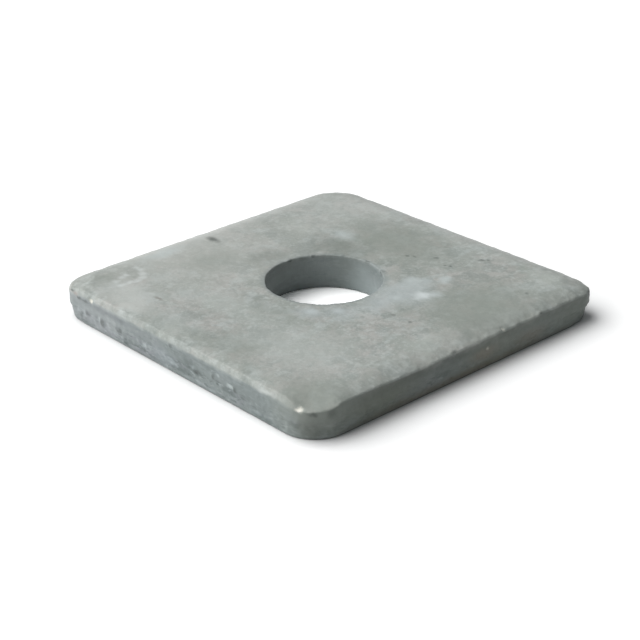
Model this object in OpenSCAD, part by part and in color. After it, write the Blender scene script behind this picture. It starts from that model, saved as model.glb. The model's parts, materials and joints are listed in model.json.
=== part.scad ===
// Square plate washer, blanked from steel plate and hot-dip galvanised.
// It lies flat with its die-roll side up. The origin is the middle of the resting face,
// on the axis of the bolt hole, and +Z points out of the rolled face.

/* [Plate] */
// Width across opposite sides, the same both ways
side = 60; // [50:1:100]
// Thickness of the plate between its two flat faces
thickness = 6; // [5.5:0.5:12]
// Radius of the four corners, seen from above
corner_r = 4.4; // [4.4:0.1:8]

/* [Bolt hole] */
// Diameter of the hole at its smooth land, below the upper rim
hole_d = 18.5; // [11:0.5:26]
// Radius of the hole's two rims, softened by the zinc
hole_rim_r = 0.2; // [0.1:0.1:0.8]
// Height of the break under the land, where the punch tore through
break_h = 3.4; // [1:0.1:4]
// How far the break widens the hole on each side at the resting face
break_flare = 0.4; // [0.1:0.1:0.6]

/* [Blanked edge] */
// Width of the die roll, where the top face bends down towards the side
roll_w = 4.4; // [2:0.1:4.4]
// Drop of the die roll over that width
roll_drop = 1.15; // [0.4:0.05:1.8]
// Radius of the nose between the die roll and the smooth sheared land
nose_r = 0.5; // [0.1:0.1:0.6]
// Height of the torn band between the land and the resting face
torn_h = 2.8; // [1:0.1:3]
// How far the torn band leans in at the resting face
torn_lean = 0.2; // [0.1:0.1:0.8]
// Radius of the edge round the resting face
foot_r = 0.3; // [0.1:0.1:0.6]

/* [Hidden] */
// Round shapes are drawn with this many sides
$fn = 128;
// Each edge arc is this much larger than one that only touches its neighbours, so that it crosses them
arc_ease = 1.002;

// Straight run of each side between two corner arcs
straight = side - 2 * corner_r;

// The die roll is one arc that leaves the top face level, and drops by roll_drop over roll_w
roll_r = (roll_w * roll_w + roll_drop * roll_drop) / (2 * roll_drop);
roll_centre = [corner_r - roll_w, thickness - roll_r];

// The nose arc touches the eased die roll from inside, and ends upright on the land
nose_x = corner_r - nose_r;
nose_rise = sqrt(pow(roll_r * arc_ease - nose_r, 2) - pow(nose_x - roll_centre.x, 2));
nose_centre = [nose_x, roll_centre.y + nose_rise];
nose_angle = atan2(nose_rise, nose_x - roll_centre.x);

// The foot arc touches the leaning torn band and the resting face
lean_angle = atan(torn_lean / torn_h);
foot_x = corner_r - (foot_r + (torn_h - foot_r) * sin(lean_angle)) / cos(lean_angle);
foot_centre = [foot_x, foot_r];

// The hole is punched in a round eye, which fills the middle of the plate
hole_r = hole_d / 2;
eye_r = hole_r + break_flare + 4 * hole_rim_r;

// The lower rim's arc touches the flaring break and the resting face
flare_angle = atan(break_flare / break_h);
rim_x = hole_r + (hole_rim_r + (break_h - hole_rim_r) * sin(flare_angle)) / cos(flare_angle);
rim_centre = [rim_x, hole_rim_r];

// What an arc takes off a sharp corner of a section, between two directions from the arc's centre
module round_off(centre, r, from, to) {
    reach = 3 * r;
    middle = (from + to) / 2;
    translate(centre)
        difference() {
            polygon([[0, 0], for (turn = [from, middle, to]) reach * [cos(turn), sin(turn)]]);
            circle(r * arc_ease);
        }
}

// Section through the blanked edge, from a corner's axis at x = 0 out to the land at x = corner_r
module edge_section() {
    difference() {
        polygon([
            [0, 0], [corner_r - torn_lean, 0], [corner_r, torn_h],
            [corner_r, thickness], [0, thickness]
        ]);
        round_off(roll_centre, roll_r, 0, 90);
        round_off(nose_centre, nose_r, 0, nose_angle);
        round_off(foot_centre, foot_r, -90, -lean_angle);
    }
}

// Section through the wall of the eye, from the punched hole out to the plate
module eye_section() {
    difference() {
        polygon([
            [hole_r + break_flare, 0], [eye_r, 0], [eye_r, thickness],
            [hole_r, thickness], [hole_r, break_h]
        ]);
        round_off([hole_r + hole_rim_r, thickness - hole_rim_r], hole_rim_r, 90, 180);
        round_off(rim_centre, hole_rim_r, 180 + flare_angle, 270);
    }
}

// One straight side of the edge
module edge_side() {
    translate([straight / 2, 0, 0])
        rotate([90, 0, 0])
            linear_extrude(straight, center = true) edge_section();
}

// One corner of the edge
module edge_corner() {
    translate([straight / 2, straight / 2, 0])
        rotate_extrude(angle = 90) edge_section();
}

// Flat middle of the plate, open for the eye
module plate_middle() {
    linear_extrude(thickness)
        difference() {
            square(straight, center = true);
            circle(eye_r);
        }
}

module plate_washer() {
    color("#a3a8a4")
        union() {
            plate_middle();
            rotate_extrude() eye_section();
            for (turn = [0 : 90 : 270])
                rotate(turn) {
                    edge_side();
                    edge_corner();
                }
        }
}

plate_washer();
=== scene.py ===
"""A square plate washer of blanked steel, hot-dip galvanised and weathered, lying on white paper."""
import json
import math

import bpy
import numpy as np
from mathutils import Matrix, Vector


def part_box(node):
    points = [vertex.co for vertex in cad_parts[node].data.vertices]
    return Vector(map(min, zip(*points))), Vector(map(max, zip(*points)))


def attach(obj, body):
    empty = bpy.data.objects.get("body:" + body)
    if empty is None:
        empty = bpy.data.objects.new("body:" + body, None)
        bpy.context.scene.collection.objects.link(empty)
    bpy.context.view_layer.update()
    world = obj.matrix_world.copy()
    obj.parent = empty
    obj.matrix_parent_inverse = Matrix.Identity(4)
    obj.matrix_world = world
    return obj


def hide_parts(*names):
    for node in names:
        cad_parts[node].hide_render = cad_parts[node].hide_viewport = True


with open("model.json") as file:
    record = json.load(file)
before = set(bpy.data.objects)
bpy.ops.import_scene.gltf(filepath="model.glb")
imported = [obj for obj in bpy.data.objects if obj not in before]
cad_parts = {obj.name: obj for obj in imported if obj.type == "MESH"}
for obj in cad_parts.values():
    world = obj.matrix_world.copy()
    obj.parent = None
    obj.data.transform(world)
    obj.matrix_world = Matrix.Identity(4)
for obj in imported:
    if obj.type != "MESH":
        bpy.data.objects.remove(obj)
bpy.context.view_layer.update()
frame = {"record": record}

MM = 0.001
NODE = "plate_washer"
SEED = 7

# Sizes of the plate in millimetres: what the frame gives, and the sections of its edges
low_corner, high_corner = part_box(NODE)
SIDE = (high_corner.x - low_corner.x) / MM
THICKNESS = (high_corner.z - low_corner.z) / MM
BORE = next(mount for mount in frame["record"]["mounts"] if mount["kind"] == "bore")
HOLE_R = BORE["dims"]["r_mm"]
HOLE_RIM_R = 0.2
BREAK_H = 3.4
BREAK_FLARE = 0.4
ROLL_W = 4.4
ROLL_DROP = 1.15
NOSE_R = 0.5
TORN_H = 2.8
TORN_LEAN = 0.2
FOOT_R = 0.3

# The corners as the die left them, counted from +X +Y round to +X -Y: radius seen from above,
# extra lean of the torn band, extra drop of the roll, and how far these two reach
CORNER_SIGNS = ((1, 1), (-1, 1), (-1, -1), (1, -1))
CORNER_RADII = (3.5, 5.6, 4.35, 5.2)
CORNER_LEANS = (0.7, 0.2, 0.35, 0.3)
CORNER_DROPS = (0.5, 0.15, 0.7, 0.95)
CORNER_REACHES = (6.0, 6.0, 6.0, 5.6)

# Further in on the plate, the corners tighten by this share of the inset, down to the sharpest turn
CORNER_TIGHTENING = 0.5
SHARPEST_TURN = 1.2

# Waves in the depth of the roll: how many round the plate, and their height in millimetres
EDGE_WAVES = ((23, 0.05), (41, 0.05), (67, 0.05))

# Waves and rag fade up the roll by this power, and the sides other than +X have this share of them
EDGE_FADE = 3
CALM = 0.45

# Two stretches have a shallower roll, by the width and drop of its bends and the radius of its nose.
# The near one, the side at -Y, ends in a short sharp bend, and fades out before its corner with +X.
# The next one turns over more sharply, and runs from there along the side at +X, where it fades out
NEAR_BENDS = ((3.0, 0.35), (0.5, 0.55))
NEAR_NOSE_R = 0.35
NEAR_END = 28.2
NEAR_END_FADE = 2.5
NEXT_BENDS = ((3.5, 0.8),)
NEXT_NOSE_R = 0.2
NEXT_END = -12.5
NEXT_END_FADE = 7.0

# How far past its corners a side's own form fades into the next side
SIDE_FADE = 6.0

# How far in from the land the nose is rubbed pale, partly a painted highlight on the near side at -Y, and
# the colour of the sides begins
RUB_HIGHLIGHT_W = 0.35
SIDE_COLOUR_W = 0.03

# The punch sat a little off the middle
HOLE_SHIFT = np.array((-0.32, -0.13))

# Steps of the mesh: columns round the plate, and rows round its section, which crowd towards the nose
SIDE_STEPS = 208
CORNER_STEPS = 32
WALL_ROWS = 14
RIM_ROWS = 4
TOP_ROWS = 26
ROLL_ROWS = 20
ROLL_CROWDING = 1.6
NOSE_ROWS = 6
LAND_ROWS = 8
TORN_ROWS = 12
FOOT_ROWS = 4
UNDER_ROWS = 4

# Colours of the zinc: its grey, and what lies on it, with painted glints and highlights among them
ZINC = "#9FA49F"
SIDE_ZINC = "#8A9291"
BLOOM = "#C4CDCD"
BARE_ZINC_GLINT = "#EDEBE0"
SCUFF_AND_HIGHLIGHT = "#CBD0CE"
DARK = "#4E5350"
DULL = "#90968F"

# Marks placed after the photograph: place and reach in millimetres, rise of the zinc, colour and cover
MARKS = (
    # Broad tones of the top, patina and in part painted light: paler to the left and duller to the right
    # where the light falls off, the rolls along the far edges and the side at +X lightened, and painted
    # shade at the near corner where its roll bends down
    ((-22, -10, 6), (24, 26, 9), 0, "#BEC0BB", 0.4),
    ((-20, 22, 6), (14, 14, 9), 0, "#BDC1BD", 0.45),
    ((15, -19, 6), (15, 10, 9), 0, "#B8BDB9", 0.5),
    ((23, 10, 6), (12, 14, 9), 0, DULL, 0.75),
    ((27, -27, 6), (8, 8, 9), 0, DULL, 0.75),
    ((0, 30, 5), (34, 7, 4), 0, "#C9CCC8", 0.5),
    ((-24, -10, 6), (12, 14, 9), 0, "#BABDB8", 0.25),
    ((-30, 0, 5), (7.5, 34, 4), 0, "#C9CBC8", 0.6),
    ((30.5, 0, 6), (5.5, 34, 2.2), 0, "#BABEB8", 0.4),
    ((-3, 18, 6), (16, 10, 9), 0, DULL, 0.75),
    ((-17.5, -25.5, 6), (8, 5, 9), 0, "#C8CCC9", 0.55),
    ((-4, -17.5, 6), (12, 4.5, 9), 0, "#BBC1BD", 0.4),
    ((8, -24, 6), (7, 4, 9), 0, DULL, 0.5),
    ((-18, -8.5, 6), (5, 6, 9), 0, DULL, 0.45),
    ((26, -5, 6), (3, 6, 9), 0, "#B8BEB9", 0.4),
    ((26.5, 6, 6), (3, 6, 9), 0, "#838983", 0.4),
    ((5, -13.5, 6), (6, 3, 9), 0, DULL, 0.4),
    ((-18.5, 11, 6), (6, 4, 9), 0, "#BBBFBA", 0.4),
    ((-10.8, 6, 6), (3, 4, 9), 0, "#7C827C", 0.4),
    ((-4, -26.5, 6), (7, 4, 9), 0, "#BFC5C2", 0.4),
    ((-7.5, 10, 6), (7, 4.5, 9), 0, "#7C827C", 0.6),
    ((-13, -1, 6), (4, 6, 9), 0, "#878C87", 0.5),
    ((24, 25, 6), (6, 5, 9), 0, "#B8BDB8", 0.45),
    ((0, -27.5, 6), (28, 3, 2), 0, DULL, 0.3),
    ((-13, -27, 6), (6, 2.5, 9), 0, "#CBCFCB", 0.45),
    # Pale bloom beside the hole and its tail along the rim; low on the hole's wall, painted light below the
    # rim's shade
    ((12.2, 5, 6), (6, 6.5, 3), 0, "#B5BDBE", 0.6),
    ((10.6, 8.6, 6), (3.6, 3.6, 3), 0, "#B8C0C0", 0.45),
    ((14.7, 6.3, 6), (2.6, 2.4, 3), 0, "#D3DADA", 0.8),
    ((12.0, -0.5, 6), (3.8, 4.5, 3), 0, "#B4BCBD", 0.55),
    ((10.2, -6.6, 6), (3.6, 3.4, 3), 0, "#B0B8B9", 0.5),
    ((7, -10, 6), (3.6, 2.4, 3), 0, "#B0B8B9", 0.5),
    ((-0.5, 9.6, 1.0), (6.2, 3.5, 4.6), 0, "#AEB8B8", 0.6),
    ((9.6, 9.4, 6), (2.0, 1.6, 3), 0, "#C2CACA", 0.5),
    ((11.4, 10.8, 6), (1.6, 1.4, 3), 0, "#BCC4C4", 0.5),
    ((16.0, 8.2, 6), (1.3, 1.5, 3), 0, "#C2CACA", 0.5),
    ((12.6, 3.0, 6), (1.5, 1.1, 3), 0, "#C2CACA", 0.5),
    ((7.3, -9.6, 6), (1.6, 1.2, 3), 0, "#C0C8C9", 0.6),
    ((9.9, -6.4, 6), (1.4, 1.3, 3), 0, "#BEC6C7", 0.5),
    # Nicks in the upper rim of the hole
    ((-9.55, 0.6, 5.9), (0.4, 0.7, 0.4), -0.12, DARK, 0.6),
    ((-8.2, 4.6, 5.9), (0.5, 0.6, 0.4), -0.12, DARK, 0.6),
    ((-0.4, 9.2, 5.9), (0.7, 0.4, 0.4), -0.12, DARK, 0.6),
    ((3.9, 8.1, 5.9), (0.6, 0.5, 0.4), -0.12, DARK, 0.5),
    ((0.2, -9.4, 5.9), (0.8, 0.4, 0.4), -0.12, DARK, 0.4),
    # Other pale patches, and a faint hooked scuff
    ((-11.2, 14, 6), (2.6, 2.4, 3), 0, BLOOM, 0.5),
    ((13.2, 13.4, 6), (1.8, 2.2, 3), 0, BLOOM, 0.6),
    ((-26, -12, 6), (2.4, 6, 3), 0, BLOOM, 0.5),
    ((-24.4, -18.7, 6), (0.9, 0.7, 3), 0.03, SCUFF_AND_HIGHLIGHT, 0.6),
    ((-23.2, -18.8, 6), (1.1, 0.8, 3), 0.03, SCUFF_AND_HIGHLIGHT, 0.7),
    ((-21.7, -19.4, 6), (1.2, 0.9, 3), 0.03, SCUFF_AND_HIGHLIGHT, 0.7),
    ((-20.5, -20.4, 6), (1.0, 1.0, 3), 0.03, SCUFF_AND_HIGHLIGHT, 0.7),
    ((-20.1, -21.6, 6), (0.8, 1.0, 3), 0.03, SCUFF_AND_HIGHLIGHT, 0.7),
    ((-20.4, -22.9, 6), (0.8, 1.1, 3), 0.03, SCUFF_AND_HIGHLIGHT, 0.75),
    ((-20.4, -24.4, 6), (0.8, 1.1, 3), 0.03, SCUFF_AND_HIGHLIGHT, 0.85),
    ((-22.2, -24.2, 6), (0.8, 0.9, 3), 0.03, SCUFF_AND_HIGHLIGHT, 0.6),
    ((-22.9, -22.6, 6), (0.8, 0.9, 3), 0.03, SCUFF_AND_HIGHLIGHT, 0.6),
    ((-23.1, -21.6, 6), (0.8, 0.7, 3), 0.03, SCUFF_AND_HIGHLIGHT, 0.7),
    ((-24.5, -24.5, 6), (2.0, 3.2, 3), 0, DULL, 0.5),
    # Dark mark by the left edge, a brown streak, and dark specks
    ((-24.7, -2.8, 6), (2.0, 1.0, 3), -0.05, DARK, 0.7),
    ((-12.5, -23.2, 6), (1.3, 0.5, 3), -0.03, "#6F665C", 0.55),
    ((11.9, 22.7, 6), (0.6, 0.6, 3), -0.05, DARK, 0.5),
    ((12.6, 23.4, 6), (0.6, 0.5, 3), -0.05, DARK, 0.5),
    ((9.3, 17.0, 6), (0.5, 0.4, 3), -0.05, DARK, 0.5),
    ((10.1, 17.4, 6), (0.6, 0.4, 3), -0.05, DARK, 0.6),
    ((6.2, 18.2, 6), (0.6, 0.5, 3), -0.05, DARK, 0.6),
    ((2.4, 15.4, 6), (0.6, 0.4, 3), -0.05, DARK, 0.4),
    ((3.4, 16.0, 6), (0.6, 0.4, 3), -0.05, DARK, 0.4),
    ((16.5, -1.7, 6), (0.6, 0.6, 3), -0.05, DARK, 0.4),
    ((20, -1.5, 6), (0.4, 0.4, 3), -0.05, DARK, 0.5),
    ((25.3, 18.3, 6), (0.5, 0.6, 3), -0.05, DARK, 0.4),
    # The side at -Y: a crack by its left corner, beads of zinc, pits and a bright bead by the near corner.
    # The bright spots at the left corner, at x -21 and by the near corner, and the pale streak on the roll
    # at x 20 are painted glints; the dark of the crack, of the spot beside the bead at x -19 and under the
    # near corner's nose is in part painted shadow
    ((-26.2, -29.6, 5.05), (0.9, 0.8, 0.4), -0.12, DARK, 0.9),
    ((-25.2, -30, 4.7), (1.0, 0.9, 0.5), 0.06, "#A59B95", 0.6),
    ((-24.2, -30, 4.4), (1.0, 0.9, 0.35), -0.06, DARK, 0.6),
    ((-22.6, -30, 4.35), (1.1, 0.9, 0.35), -0.06, DARK, 0.5),
    ((-26.6, -28.2, 5.1), (1.2, 1.2, 0.35), 0.1, BARE_ZINC_GLINT, 0.4),
    ((-21.0, -29.9, 4.85), (0.55, 1, 0.5), 0.15, BARE_ZINC_GLINT, 1.0),
    ((-22.1, -30, 2.5), (0.9, 1, 0.8), -0.1, DARK, 0.5),
    ((-24.0, -30, 1.6), (0.9, 1, 0.8), -0.1, DARK, 0.5),
    ((-19.3, -30, 2.4), (0.7, 1, 0.7), 0.18, BLOOM, 0.8),
    ((-18.2, -30, 2.1), (1.0, 1, 1.0), -0.12, DARK, 0.65),
    ((-13.8, -30, 2.3), (1.2, 1, 0.7), -0.1, DARK, 0.5),
    ((-7.5, -30, 2.25), (0.9, 1, 0.6), 0.06, BLOOM, 0.5),
    ((-1.0, -30, 4.5), (0.5, 1, 0.5), -0.1, DARK, 0.5),
    ((5.2, -30, 2.5), (1.5, 1, 0.5), -0.12, DARK, 0.6),
    ((9.0, -30, 3.2), (0.6, 1, 0.6), -0.1, DARK, 0.5),
    ((10.0, -30, 3.7), (0.6, 1, 0.4), 0.06, BLOOM, 0.5),
    ((12.7, -30, 3.0), (1.1, 1, 0.5), 0.06, BLOOM, 0.7),
    ((13.8, -30, 2.9), (0.5, 1, 0.7), -0.1, DARK, 0.5),
    ((20.5, -29.7, 5.1), (3, 0.8, 0.6), 0, SCUFF_AND_HIGHLIGHT, 0.6),
    ((26.8, -29.4, 4.6), (0.7, 1.2, 0.4), 0.2, "#FFFDF2", 1.0),
    ((28.3, -28.4, 4.2), (0.8, 0.8, 0.45), -0.12, DARK, 0.7),
    # The side at +X: its roll at the far corner darkened, a painted shade where it turns from the light,
    # notches in its edge, a dark patch, and bright specks with painted glints
    ((29.4, 28.6, 4.6), (1.6, 2.4, 0.7), 0, "#666C68", 0.6),
    ((30, -2.5, 5.0), (1, 0.7, 0.5), -0.12, DARK, 0.4),
    ((29.9, 16.3, 4.8), (1, 0.8, 0.5), -0.12, DARK, 0.5),
    ((30, -26.3, 4.1), (1, 1.2, 1.0), -0.05, DARK, 0.4),
    ((30, 4.4, 3.2), (1, 0.45, 0.45), 0.1, BARE_ZINC_GLINT, 0.5),
    ((29.9, 8.1, 4.95), (1, 0.4, 0.4), 0.1, BARE_ZINC_GLINT, 0.6),
)

# Broad tones of the two near sides, which end at their noses: bluer at -Y, olive and browner at +X, where
# they are also darkened as painted shade on the side turned from the light; the near corner between the
# sides and dark bands under the noses are painted shade too
SIDE_TONES = (
    ((-20, -30, 3), (13, 1.5, 4), 0, "#B4B9BC", 0.4),
    ((-17, -30, 4.2), (8, 1.5, 0.9), 0, "#6E7478", 0.5),
    ((-3, -30, 1.8), (4, 1, 2.2), 0, "#A3ABAE", 0.55),
    ((2.9, -30, 3.3), (1.6, 1, 1.3), 0, "#6A7271", 0.5),
    ((18, -30, 2.5), (9, 1, 4), 0, "#7E8685", 0.45),
    ((28.6, -28.4, 2.2), (3.6, 3.6, 5), 0, "#575B57", 0.85),
    ((30, -17, 3), (1.5, 15, 5), 0, "#7C8177", 0.8),
    ((30, 6, 3), (1.5, 14, 5), 0, "#868B82", 0.8),
    ((30, 24, 3), (1.5, 12, 5), 0, "#858B82", 0.7),
    ((30, 4, 2.6), (1.2, 4, 1.6), 0, "#94897C", 0.5),
    ((30, 14, 2.0), (1.2, 5, 1.8), 0, "#8C8478", 0.5),
    ((30, -1, 0.5), (1.2, 30, 1.1), 0, "#857F70", 0.6),
    ((30, 0, 4.4), (1.5, 38, 1.5), 0, "#5E635D", 0.5),
)


def add(tree, kind, inputs=(), **settings):
    """Adds a node with its settings, and gives each input, by name or number, a link or a value."""
    node = tree.nodes.new(kind)
    for name, value in settings.items():
        setattr(node, name, value)
    for key, value in dict(inputs).items():
        if isinstance(value, bpy.types.NodeSocket):
            tree.links.new(value, node.inputs[key])
        else:
            node.inputs[key].default_value = value
    return node


def linear(hex_colour):
    """An sRGB hex colour as linear red, green, blue and alpha."""
    channels = [int(hex_colour[i:i + 2], 16) / 255 for i in (1, 3, 5)]
    return [c / 12.92 if c <= 0.04045 else ((c + 0.055) / 1.055) ** 2.4 for c in channels] + [1.0]


def per_metre(size_mm):
    """A texture's scale on Object coordinates, for a pattern of that size."""
    return 1 / (size_mm * MM)


# The plate's mesh

def outline(inset):
    """The plate's outline moved in by inset: four straights and corner arcs, in step at every inset."""
    half = SIDE / 2 - inset
    radii = [max(radius - CORNER_TIGHTENING * inset, SHARPEST_TURN) for radius in CORNER_RADII]
    turn = np.linspace(0, math.pi / 2, CORNER_STEPS, endpoint=False)
    quarters = []
    for number, radius in enumerate(radii):
        middle = half - radius
        along = np.linspace(radii[number - 1] - half, middle, SIDE_STEPS, endpoint=False)
        x = np.concatenate([np.full(SIDE_STEPS, half), middle + radius * np.cos(turn)])
        y = np.concatenate([along, middle + radius * np.sin(turn)])
        for _ in range(number):
            x, y = -y, x
        quarters.append(np.stack([x, y], 1))
    return np.concatenate(quarters)


def near_corners(plan, amounts):
    """For each point of a plan, the amount of the corner it is near, fading to none away from it."""
    total = np.zeros(len(plan))
    for (sx, sy), amount, reach in zip(CORNER_SIGNS, amounts, CORNER_REACHES):
        away = np.hypot(plan[:, 0] - sx * SIDE / 2, plan[:, 1] - sy * SIDE / 2)
        total += amount * np.clip(1 - (away / reach) ** 2, 0, 1)
    return total


def arc(centre, radius, start, stop, rows, crowding=1.0):
    """Points of an arc as (inset, height), by their angle from straight up, crowding to its end."""
    angles = stop + (start - stop) * np.linspace(1, 0, rows) ** crowding
    return [(centre[0] - radius * math.sin(a), centre[1] + radius * math.cos(a)) for a in angles]


def edge_section():
    """The blanked edge from top to bottom, as (inset, height): its roll, nose, land, torn band and foot."""
    roll_r = (ROLL_W ** 2 + ROLL_DROP ** 2) / (2 * ROLL_DROP)
    nose_rise = math.sqrt((roll_r - NOSE_R) ** 2 - (ROLL_W - NOSE_R) ** 2)
    nose_angle = math.atan2(ROLL_W - NOSE_R, nose_rise)
    nose_z = THICKNESS - roll_r + nose_rise
    lean = math.atan(TORN_LEAN / TORN_H)
    foot_inset = (FOOT_R + (TORN_H - FOOT_R) * math.sin(lean)) / math.cos(lean)
    roll = arc((ROLL_W, THICKNESS - roll_r), roll_r, 0, nose_angle, ROLL_ROWS, ROLL_CROWDING)
    nose = arc((NOSE_R, nose_z), NOSE_R, nose_angle, math.pi / 2, NOSE_ROWS)[1:]
    foot = arc((foot_inset, FOOT_R), FOOT_R, math.pi / 2 + lean, math.pi, FOOT_ROWS)
    land = [(0.0, z) for z in np.linspace(nose_z, TORN_H, LAND_ROWS + 1)[1:]]
    torn = list(zip(np.linspace(0, foot[0][0], TORN_ROWS + 1)[1:-1],
                    np.linspace(TORN_H, foot[0][1], TORN_ROWS + 1)[1:-1]))
    return roll, nose, land, torn, foot


def fill(inset, height, bends, nose_r):
    """How far a shallower roll lies above the section there, never below it."""
    bend = sum(drop * max(1 - inset / width, 0) ** 2 for width, drop in bends)
    short = max(nose_r - inset, 0)
    turn = nose_r - math.sqrt(nose_r ** 2 - short ** 2)
    return max(THICKNESS - bend - turn - height, 0)


def side_shares(plan):
    """Each point's share of the near and the next stretch of shallower roll, and of waves and rag."""
    x, y = plan.T
    near = np.clip((SIDE_FADE - y - np.abs(x)) / SIDE_FADE, 0, 1)
    near *= np.clip((NEAR_END - x) / NEAR_END_FADE, 0, 1)
    after = np.clip((NEXT_END - y) / NEXT_END_FADE, 0, 1) * (x > 0) * (1 - near)
    at_right = np.clip((x - np.abs(y) + SIDE_FADE) / SIDE_FADE, 0, 1)
    ragged = CALM + (1 - CALM) * at_right * (1 - near - after)
    return near, after, ragged


def marked(grid):
    """The skin's grid of points, raised at the beads and sunk at the pits and notches."""
    round_plate = np.roll(grid, -1, 1) - np.roll(grid, 1, 1)
    round_section = np.roll(grid, -1, 0) - np.roll(grid, 1, 0)
    normals = np.cross(round_plate, round_section)
    normals /= np.linalg.norm(normals, axis=2, keepdims=True)
    height = np.zeros(grid.shape[:2])
    for place, reach, rise, _, _ in MARKS:
        away = np.linalg.norm((grid - place) / reach, axis=2)
        height += rise * np.clip(1 - away ** 2, 0, 1)
    return grid + normals * height[..., None]


def plate_mesh():
    """The washer as one closed skin of rows round its section and columns round the plate."""
    roll, nose, land, torn, foot = edge_section()
    roll_start = outline(ROLL_W)
    angle = np.arctan2(roll_start[:, 1], roll_start[:, 0])
    round_hole = np.stack([np.cos(angle), np.sin(angle)], 1)
    lean = near_corners(outline(0), CORNER_LEANS)[:, None] * round_hole
    near_side, next_side, ragged = side_shares(outline(0))
    turn = np.linspace(0, 2 * math.pi, len(angle), endpoint=False)
    wave = sum(high * np.sin(count * turn + count) for count, high in EDGE_WAVES)
    rows = []

    def lay(plan, height, coat=0.0, tear=0.0, rag=0.0, side=0.0, rim=0.0, waves=0.0):
        """Lays one row of the skin with the weights of its finish, lowered at corners and by waves."""
        upper = np.clip((height - TORN_H) / (THICKNESS - TORN_H), 0, 1)
        z = height - (near_corners(plan, CORNER_DROPS) + wave * waves) * upper
        points = np.column_stack([plan, np.broadcast_to(z, len(plan))])
        weights = [np.broadcast_to(weight, len(plan)) for weight in (coat, tear, rag, side, rim)]
        rows.append((points, *weights))

    def hole(radius):
        """The hole's outline at that radius."""
        return HOLE_SHIFT + round_hole * radius

    def filled(inset, height):
        """The section's height, raised on the two stretches with a shallower roll."""
        return (height + fill(inset, height, NEAR_BENDS, NEAR_NOSE_R) * near_side
                + fill(inset, height, NEXT_BENDS, NEXT_NOSE_R) * next_side)

    # Up the wall of the hole, over its rim and out to the roll
    quarter = np.linspace(0, math.pi / 2, RIM_ROWS + 1)
    for z in np.linspace(HOLE_RIM_R, THICKNESS - HOLE_RIM_R, WALL_ROWS + 1)[:-1]:
        lay(hole(HOLE_R + BREAK_FLARE * max(1 - z / BREAK_H, 0)), z, coat=0.5, tear=0.3, side=1.0)
    for a in quarter:
        z = THICKNESS - HOLE_RIM_R * (1 - math.sin(a))
        lay(hole(HOLE_R + HOLE_RIM_R * (1 - math.cos(a))), z, coat=0.7, tear=0.3, rag=0.8, side=0.7)
    for share in np.linspace(0, 1, TOP_ROWS + 1)[1:-1]:
        lay(hole(HOLE_R + HOLE_RIM_R) * (1 - share) + roll_start * share, THICKNESS, coat=1.0)

    # Down the blanked edge
    for inset, z in roll:
        rubbed_and_highlit = max(1 - inset / RUB_HIGHLIGHT_W, 0) * near_side
        edge = ragged * (1 - inset / ROLL_W) ** EDGE_FADE
        lay(outline(inset), filled(inset, z), coat=1.0, rag=edge, rim=rubbed_and_highlit, waves=edge)
    for inset, z in nose:
        side = max(1 - inset / SIDE_COLOUR_W, 0)
        lay(outline(inset), filled(inset, z), coat=1.0, tear=0.2, rag=ragged, side=side, rim=near_side,
            waves=ragged)
    for inset, z in land:
        lay(outline(inset), z, coat=1.0, tear=0.4, rag=0.6 * ragged, side=1.0, waves=ragged)
    for inset, z in torn:
        lay(outline(inset) - lean * math.sqrt(1 - z / TORN_H), z, coat=1.0, tear=1.0, rag=0.3, side=1.0)
    for inset, z in foot:
        lay(outline(inset) - lean * math.sqrt(1 - z / TORN_H), z, side=1.0)

    # Across the resting face and round the lower rim of the hole
    foot_outline = outline(foot[-1][0]) - lean
    for share in np.linspace(0, 1, UNDER_ROWS + 1)[1:]:
        lay(foot_outline * (1 - share) + hole(HOLE_R + BREAK_FLARE + HOLE_RIM_R) * share, 0.0)
    for a in quarter[1:-1]:
        r = HOLE_R + BREAK_FLARE + HOLE_RIM_R * (1 - math.sin(a))
        lay(hole(r), HOLE_RIM_R * (1 - math.cos(a)))

    points = marked(np.stack([row[0] for row in rows])).reshape(-1, 3) * MM
    index = np.arange(len(points)).reshape(len(rows), len(angle))
    right = np.roll(index, -1, 1)
    quads = np.stack([index, np.roll(index, -1, 0), np.roll(right, -1, 0), right], 2).reshape(-1, 4)
    mesh = bpy.data.meshes.new(NODE)
    mesh.from_pydata(points.tolist(), [], quads.tolist())
    for number, name in enumerate(("coat", "tear", "rag", "side", "rim"), start=1):
        weights = np.concatenate([row[number] for row in rows]).astype(np.float32)
        mesh.attributes.new(name, "FLOAT", "POINT").data.foreach_set("value", weights)
    mesh.shade_smooth()
    mesh.validate()
    return mesh


# Zinc coat: Geometry Nodes push the skin in and out by noise of real sizes

COAT = {
    "Swell Height": 0.15 * MM,
    "Swell Size": 6 * MM,
    "Ripple Height": 0.07 * MM,
    "Ripple Size": 1.2 * MM,
    "Tear Height": 0.5 * MM,
    "Tear Size": 0.9 * MM,
    "Rag Height": 0.5 * MM,
    "Rag Size": 1.3 * MM,
    "Seed": float(SEED),
}


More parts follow.
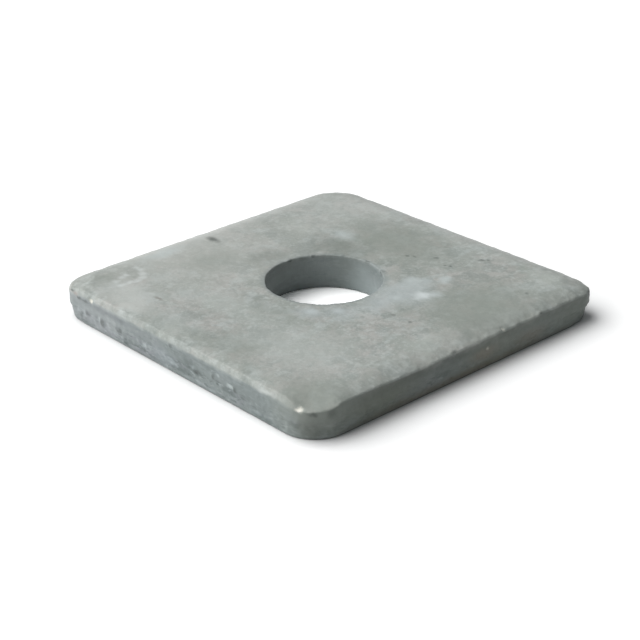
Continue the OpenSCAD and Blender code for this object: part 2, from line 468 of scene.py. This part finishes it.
def coat_tree(material):
    """The node tree that roughens the skin: swells and ripples of zinc, a torn grain, and ragged rims."""
    tree = bpy.data.node_groups.new("zinc coat", "GeometryNodeTree")
    face = tree.interface
    face.new_socket("Geometry", in_out="INPUT", socket_type="NodeSocketGeometry")
    for name in COAT:
        face.new_socket(name, in_out="INPUT", socket_type="NodeSocketFloat")
    face.new_socket("Geometry", in_out="OUTPUT", socket_type="NodeSocketGeometry")
    given = add(tree, "NodeGroupInput").outputs
    place = add(tree, "GeometryNodeInputPosition").outputs[0]
    height = None
    for kind, weight in (("Swell", "coat"), ("Ripple", "coat"), ("Tear", "tear"), ("Rag", "rag")):
        scale = add(tree, "ShaderNodeMath",
                    {0: 1.0, 1: given[kind + " Size"]}, operation="DIVIDE").outputs[0]
        noise = add(tree, "ShaderNodeTexNoise",
                    {"Vector": place, "W": given["Seed"], "Scale": scale, "Detail": 2.0},
                    noise_dimensions="4D").outputs[0]
        level = add(tree, "ShaderNodeMath", {0: 0.5, 1: noise}, operation="SUBTRACT").outputs[0]
        share = add(tree, "GeometryNodeInputNamedAttribute",
                    {"Name": weight}, data_type="FLOAT").outputs[0]
        size = add(tree, "ShaderNodeMath",
                   {0: given[kind + " Height"], 1: share}, operation="MULTIPLY").outputs[0]
        part = add(tree, "ShaderNodeMath", {0: level, 1: size}, operation="MULTIPLY").outputs[0]
        height = part if height is None else add(
            tree, "ShaderNodeMath", {0: height, 1: part}, operation="ADD").outputs[0]
    normal = add(tree, "GeometryNodeInputNormal").outputs[0]
    push = add(tree, "ShaderNodeVectorMath", {0: normal, "Scale": height}, operation="SCALE").outputs[0]
    moved = add(tree, "GeometryNodeSetPosition",
                {"Geometry": given["Geometry"], "Offset": push}).outputs[0]
    whole = add(tree, "GeometryNodeRealizeInstances", {"Geometry": moved}).outputs[0]
    dressed = add(tree, "GeometryNodeSetMaterial", {"Geometry": whole, "Material": material}).outputs[0]
    add(tree, "NodeGroupOutput", {"Geometry": dressed})
    return tree


def coat_piece(piece, tree):
    """Gives the piece its coat as a plain mesh, with the modifier gone again."""
    coat = piece.modifiers.new("zinc coat", "NODES")
    coat.node_group = tree
    for socket in tree.interface.items_tree:
        if socket.in_out == "INPUT" and socket.name in COAT:
            coat[socket.identifier] = COAT[socket.name]
    settled = piece.evaluated_get(bpy.context.evaluated_depsgraph_get())
    mesh = bpy.data.meshes.new_from_object(settled)
    piece.modifiers.remove(coat)
    piece.data = mesh


# Materials

# Clouds of the patina on the flat faces and on the sides: size in millimetres, where their noise begins
# and ends to cover, colour and cover
CLOUDS = (
    (11.0, 0.45, 0.65, DULL, 0.55),
    (7.0, 0.48, 0.62, "#ACABA7", 0.7),
    (5.0, 0.50, 0.62, "#AFB6B4", 0.7),
    (3.4, 0.50, 0.60, "#B3B2AE", 0.4),
    (3.0, 0.52, 0.62, "#8C938F", 0.6),
    (2.2, 0.48, 0.68, "#8D938E", 0.4),
    (1.1, 0.48, 0.66, "#BEC4C1", 0.45),
    (0.7, 0.50, 0.62, "#858B87", 0.32),
    (0.5, 0.52, 0.64, "#C0C5C2", 0.27),
)
SIDE_CLOUDS = (
    (4.0, 0.46, 0.64, "#93959B", 0.6),
    (2.4, 0.48, 0.62, "#6A7372", 0.75),
    (1.8, 0.52, 0.68, "#A5AEB0", 0.7),
    (0.8, 0.54, 0.66, "#5F6766", 0.6),
    (0.6, 0.54, 0.66, "#B0B8B9", 0.5),
)

# How far apart the layers take their noise, and how the sides' clouds are drawn out along the plate
CLOUD_STEP = 3.7
SIDE_DRAWING = (0.5, 0.5, 1.5)

# Shade towards the foot of the sides: its height and its cover
FOOT_SHADE_H = 0.9 * MM
FOOT_SHADE = 0.15

# Noise that makes the borders of marks ragged, fine for small marks and broad for large ones: its size and
# push in millimetres. A large mark reaches further than this both ways, and the colour of a mark fades in
# between these shares of its reach
SHAKES = ((1.2, 1.0), (3.0, 4.0))
LARGE_MARK = 1.7
MARK_BORDER = 1.1
MARK_MIDDLE = 0.1

# Rubbed patches of the nose, partly a painted highlight: size in millimetres, where their noise begins and
# ends to cover, and cover
RUB_HIGHLIGHT_SIZE = 2.5
RUB_HIGHLIGHT_BEGIN = 0.4
RUB_HIGHLIGHT_END = 0.7
RUB_HIGHLIGHT_COVER = 0.4

# Grain of the zinc, too fine for the mesh: size in millimetres, and height and strength as a bump
GRAIN_SIZE = 0.6
GRAIN_HEIGHT = 0.1 * MM
GRAIN_STRENGTH = 0.3


def clouded(tree, colour, place, layers):
    """A colour with layers of noise clouds laid over it."""
    for number, (size, begin, end, tint, cover) in enumerate(layers):
        noise = add(tree, "ShaderNodeTexNoise",
                    {"Vector": place, "W": SEED + CLOUD_STEP * number, "Scale": per_metre(size),
                     "Detail": 4.0, "Roughness": 0.55, "Distortion": 0.3},
                    noise_dimensions="4D").outputs[0]
        share = add(tree, "ShaderNodeMapRange", {0: noise, 1: begin, 2: end, 3: 0.0, 4: cover},
                    interpolation_type="SMOOTHSTEP").outputs[0]
        colour = add(tree, "ShaderNodeMix",
                     {0: share, 6: colour, 7: linear(tint)}, data_type="RGBA").outputs[2]
    return colour


def laid(tree, colour, shaken, marks):
    """A colour with marks laid over it, each on the finely or the broadly shaken place."""
    for middle, reach, _, tint, cover in marks:
        large = min(reach[:2]) > LARGE_MARK
        offset = add(tree, "ShaderNodeVectorMath",
                     {0: shaken[large], 1: Vector(middle) * MM}, operation="SUBTRACT").outputs[0]
        scaled = add(tree, "ShaderNodeVectorMath",
                     {0: offset, 1: Vector(reach) * MM}, operation="DIVIDE").outputs[0]
        away = add(tree, "ShaderNodeVectorMath", {0: scaled}, operation="LENGTH").outputs["Value"]
        share = add(tree, "ShaderNodeMapRange",
                    {0: away, 1: MARK_BORDER, 2: MARK_MIDDLE, 3: 0.0, 4: cover},
                    interpolation_type="SMOOTHSTEP").outputs[0]
        colour = add(tree, "ShaderNodeMix",
                     {0: share, 6: colour, 7: linear(tint)}, data_type="RGBA").outputs[2]
    return colour


def galvanised_zinc():
    """Hot-dip zinc, weathered dull: matt grey patina with paler bluish and browner clouds, and painted
    light and shade.
    """
    material = bpy.data.materials.new("weathered hot-dip zinc")
    material.use_nodes = True
    tree = material.node_tree
    tree.nodes.clear()
    place = add(tree, "ShaderNodeTexCoord").outputs["Object"]
    face_colour = clouded(tree, linear(ZINC), place, CLOUDS)

    # Marks and tones are laid on a shaken place, so that their borders are ragged
    shaken = []
    for size, strength in SHAKES:
        shake = add(tree, "ShaderNodeTexNoise",
                    {"Vector": place, "Scale": per_metre(size), "Detail": 4.0}).outputs[1]
        level = add(tree, "ShaderNodeVectorMath",
                    {0: shake, 1: (0.5, 0.5, 0.5)}, operation="SUBTRACT").outputs[0]
        push = add(tree, "ShaderNodeVectorMath",
                   {0: level, "Scale": strength * MM}, operation="SCALE").outputs[0]
        moved = add(tree, "ShaderNodeVectorMath", {0: place, 1: push}, operation="ADD").outputs[0]
        shaken.append(moved)

    # The sides are bluer, with clouds drawn out along the plate, and darken towards the foot
    drawn = add(tree, "ShaderNodeVectorMath",
                {0: place, 1: SIDE_DRAWING}, operation="MULTIPLY").outputs[0]
    torn = add(tree, "ShaderNodeAttribute", attribute_name="tear").outputs["Fac"]
    cloudy = clouded(tree, linear(SIDE_ZINC), drawn, SIDE_CLOUDS)
    side_colour = add(tree, "ShaderNodeMix",
                      {0: torn, 6: linear(SIDE_ZINC), 7: cloudy}, data_type="RGBA").outputs[2]
    height = add(tree, "ShaderNodeSeparateXYZ", {0: place}).outputs["Z"]
    low = add(tree, "ShaderNodeMapRange", {0: height, 1: FOOT_SHADE_H, 2: 0.0, 3: 0.0, 4: FOOT_SHADE},
              interpolation_type="SMOOTHSTEP").outputs[0]
    side_colour = add(tree, "ShaderNodeMix",
                      {0: low, 6: side_colour, 7: linear(DARK)}, data_type="RGBA").outputs[2]
    side_colour = laid(tree, side_colour, shaken, SIDE_TONES)
    on_side = add(tree, "ShaderNodeAttribute", attribute_name="side").outputs["Fac"]
    colour = add(tree, "ShaderNodeMix",
                 {0: on_side, 6: face_colour, 7: side_colour}, data_type="RGBA").outputs[2]

    # The nose of the near side is rubbed pale in places, partly a painted highlight where its roll faces
    # the lights
    rub_and_highlight = add(tree, "ShaderNodeTexNoise",
              {"Vector": place, "Scale": per_metre(RUB_HIGHLIGHT_SIZE), "Detail": 3.0}).outputs[0]
    rubbed_and_highlit = add(tree, "ShaderNodeMapRange",
                 {0: rub_and_highlight, 1: RUB_HIGHLIGHT_BEGIN, 2: RUB_HIGHLIGHT_END, 3: 0.0, 4: RUB_HIGHLIGHT_COVER}).outputs[0]
    on_rim = add(tree, "ShaderNodeAttribute", attribute_name="rim").outputs["Fac"]
    pale = add(tree, "ShaderNodeMath", {0: on_rim, 1: rubbed_and_highlit}, operation="MULTIPLY").outputs[0]
    colour = add(tree, "ShaderNodeMix",
                 {0: pale, 6: colour, 7: linear(SCUFF_AND_HIGHLIGHT)}, data_type="RGBA").outputs[2]
    colour = laid(tree, colour, shaken, MARKS)

    # The patina is no bare metal, so it is dull, and only faintly glossy
    grain = add(tree, "ShaderNodeTexNoise",
                {"Vector": place, "Scale": per_metre(GRAIN_SIZE), "Detail": 4.0}).outputs[0]
    bump = add(tree, "ShaderNodeBump",
               {"Height": grain, "Strength": GRAIN_STRENGTH, "Distance": GRAIN_HEIGHT}).outputs[0]
    shader = add(tree, "ShaderNodeBsdfPrincipled",
                 {"Base Color": colour, "Metallic": 0.0, "Roughness": 0.45, "Specular IOR Level": 0.15,
                  "Normal": bump})
    add(tree, "ShaderNodeOutputMaterial", {"Surface": shader.outputs[0]})
    return material


# Brightness of the paper, for the light that it throws back and to the eye, which sees it blown out to
# white; inside the hole the eye sees it brighter still, painted light that lifts the shade of the hole's
# wall
PAPER = 0.68
PAPER_SEEN = 1.12
HOLE_PAPER_PAINTED_LIGHT = 1.5
HOLE_PAINTED_LIGHT_REACH = 12 * MM

# Shade where the washer touches the paper: how far it reaches, and the share of brightness it leaves
CONTACT_REACH = 3 * MM
CONTACT_SHADE = 0.58


def white_paper():
    """Matt white paper under the washer, shaded where the washer touches it, with painted light in the
    hole.
    """
    material = bpy.data.materials.new("matt white paper")
    material.use_nodes = True
    tree = material.node_tree
    tree.nodes.clear()
    near = add(tree, "ShaderNodeAmbientOcclusion", {"Distance": CONTACT_REACH}, samples=8).outputs["AO"]
    shade = add(tree, "ShaderNodeMapRange",
                {0: near, 1: 0.0, 2: 1.0, 3: CONTACT_SHADE * PAPER_SEEN, 4: PAPER_SEEN}).outputs[0]
    place = add(tree, "ShaderNodeTexCoord").outputs["Object"]
    away = add(tree, "ShaderNodeVectorMath", {0: place}, operation="LENGTH").outputs["Value"]
    hole_painted_light = add(tree, "ShaderNodeMath",
                  {0: away, 1: HOLE_PAINTED_LIGHT_REACH}, operation="LESS_THAN").outputs[0]
    shade = add(tree, "ShaderNodeMix", {0: hole_painted_light, 2: shade, 3: HOLE_PAPER_PAINTED_LIGHT}).outputs[0]
    rays = add(tree, "ShaderNodeLightPath").outputs
    seen = rays["Is Camera Ray"]
    for kind in ("Is Glossy Ray", "Is Transmission Ray"):
        seen = add(tree, "ShaderNodeMath", {0: seen, 1: rays[kind]}, operation="MAXIMUM").outputs[0]
    colour = add(tree, "ShaderNodeMix", {0: seen, 6: (PAPER, PAPER, PAPER, 1.0), 7: shade},
                 data_type="RGBA").outputs[2]
    shader = add(tree, "ShaderNodeBsdfDiffuse", {"Color": colour})
    add(tree, "ShaderNodeOutputMaterial", {"Surface": shader.outputs[0]})
    return material


zinc = galvanised_zinc()
washer = bpy.data.objects.new("washer", plate_mesh())
bpy.context.scene.collection.objects.link(washer)
coat_piece(washer, coat_tree(zinc))
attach(washer, "root")
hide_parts(NODE)

# Floor, light and camera

FLOOR_REACH = 3.0
FLOOR_SIGNS = ((-1, -1), (1, -1), (1, 1), (-1, 1))
floor_mesh = bpy.data.meshes.new("floor")
floor_points = [(x * FLOOR_REACH, y * FLOOR_REACH, 0) for x, y in FLOOR_SIGNS]
floor_mesh.from_pydata(floor_points, [], [(0, 1, 2, 3)])
floor_mesh.materials.append(white_paper())
floor = bpy.data.objects.new("floor", floor_mesh)
bpy.context.scene.collection.objects.link(floor)

# A wide soft light from the upper left and a lower one from the near left: where from, strength, spread
LAMPS = {
    "key": ((-0.64, -0.4, 1.0), 3.06, math.radians(66)),
    "fill": ((-0.1, -1.0, 0.3), 0.95, math.radians(40)),
}
for name, (direction, strength, spread) in LAMPS.items():
    lamp = bpy.data.lights.new(name, "SUN")
    lamp.energy = strength
    lamp.angle = spread
    lamp_object = bpy.data.objects.new(name, lamp)
    lamp_object.rotation_euler = Vector(direction).to_track_quat("Z", "Y").to_euler()
    bpy.context.scene.collection.objects.link(lamp_object)

# Faint cool light from all round
AMBIENT = 0.14
AMBIENT_COLOUR = (0.95, 0.99, 1, 1)
world = bpy.data.worlds.new("studio")
world.use_nodes = True
world.node_tree.nodes["Background"].inputs["Color"].default_value = AMBIENT_COLOUR
world.node_tree.nodes["Background"].inputs["Strength"].default_value = AMBIENT
bpy.context.scene.world = world

# The photograph's camera, by its bearing round the washer, its height and its roll
CAMERA_AZIMUTH = math.radians(48.199)
CAMERA_ELEVATION = math.radians(25.811)
CAMERA_ROLL = math.radians(-0.94)
CAMERA_DISTANCE = 253.48 * MM
WASHER_RIGHT = 1.065 * MM
WASHER_DOWN = -1.007 * MM
FOCAL_PIXELS = 1606.07
IMAGE_PIXELS = 640
SENSOR_MM = 36

back = Vector((math.sin(CAMERA_AZIMUTH) * math.cos(CAMERA_ELEVATION),
               -math.cos(CAMERA_AZIMUTH) * math.cos(CAMERA_ELEVATION),
               math.sin(CAMERA_ELEVATION)))
level_right = Vector((math.cos(CAMERA_AZIMUTH), math.sin(CAMERA_AZIMUTH), 0))
level_up = back.cross(level_right)
right = level_right * math.cos(CAMERA_ROLL) + level_up * math.sin(CAMERA_ROLL)
up = back.cross(right)
lens = bpy.data.cameras.new("camera")
lens.sensor_width = SENSOR_MM
lens.lens = FOCAL_PIXELS / IMAGE_PIXELS * SENSOR_MM
lens.clip_start = 10 * MM
camera = bpy.data.objects.new("camera", lens)
stand = back * CAMERA_DISTANCE - right * WASHER_RIGHT + up * WASHER_DOWN
camera.matrix_world = Matrix.Translation(stand) @ Matrix((right, up, back)).transposed().to_4x4()
bpy.context.scene.collection.objects.link(camera)
bpy.context.scene.camera = camera
bpy.context.scene.view_settings.view_transform = "Standard"
